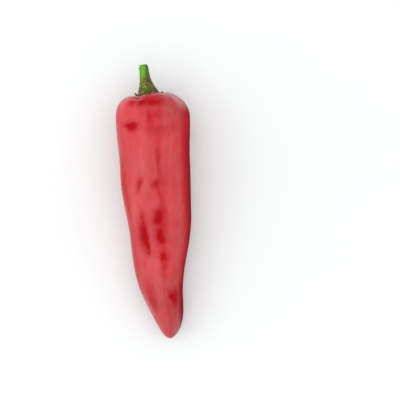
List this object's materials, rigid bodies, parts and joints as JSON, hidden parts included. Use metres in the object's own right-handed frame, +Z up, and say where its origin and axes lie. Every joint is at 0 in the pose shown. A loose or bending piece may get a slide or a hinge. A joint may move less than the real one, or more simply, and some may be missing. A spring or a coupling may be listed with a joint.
{
  "type": "sweet pointed pepper",
  "caption": "Red sweet pointed pepper lying on its side: long tapering fruit with shallow seams and dents, thin calyx and cut green stem.",
  "frame": {"origin": "on the surface that the pepper lies on, below the middle of its bounding box", "axes": "+Y along the fruit towards the stem, -Y towards the tip, +Z up away from the surface, +X to the right seen from above with the stem at the top"},
  "size_m": [0.053, 0.1928, 0.0465],
  "materials": {
    "fruit_skin": "smooth waxy red skin with soft broad highlights, darker in the dents and seams",
    "calyx": "dry olive green with a brown rim",
    "stem": "ribbed bright green, with corky olive and brown mottling towards the foot and a dry cut end"
  },
  "bodies": {
    "root": {"fruit": "fruit_skin", "calyx": "calyx", "stem": "stem"}
  },
  "joints": []
}
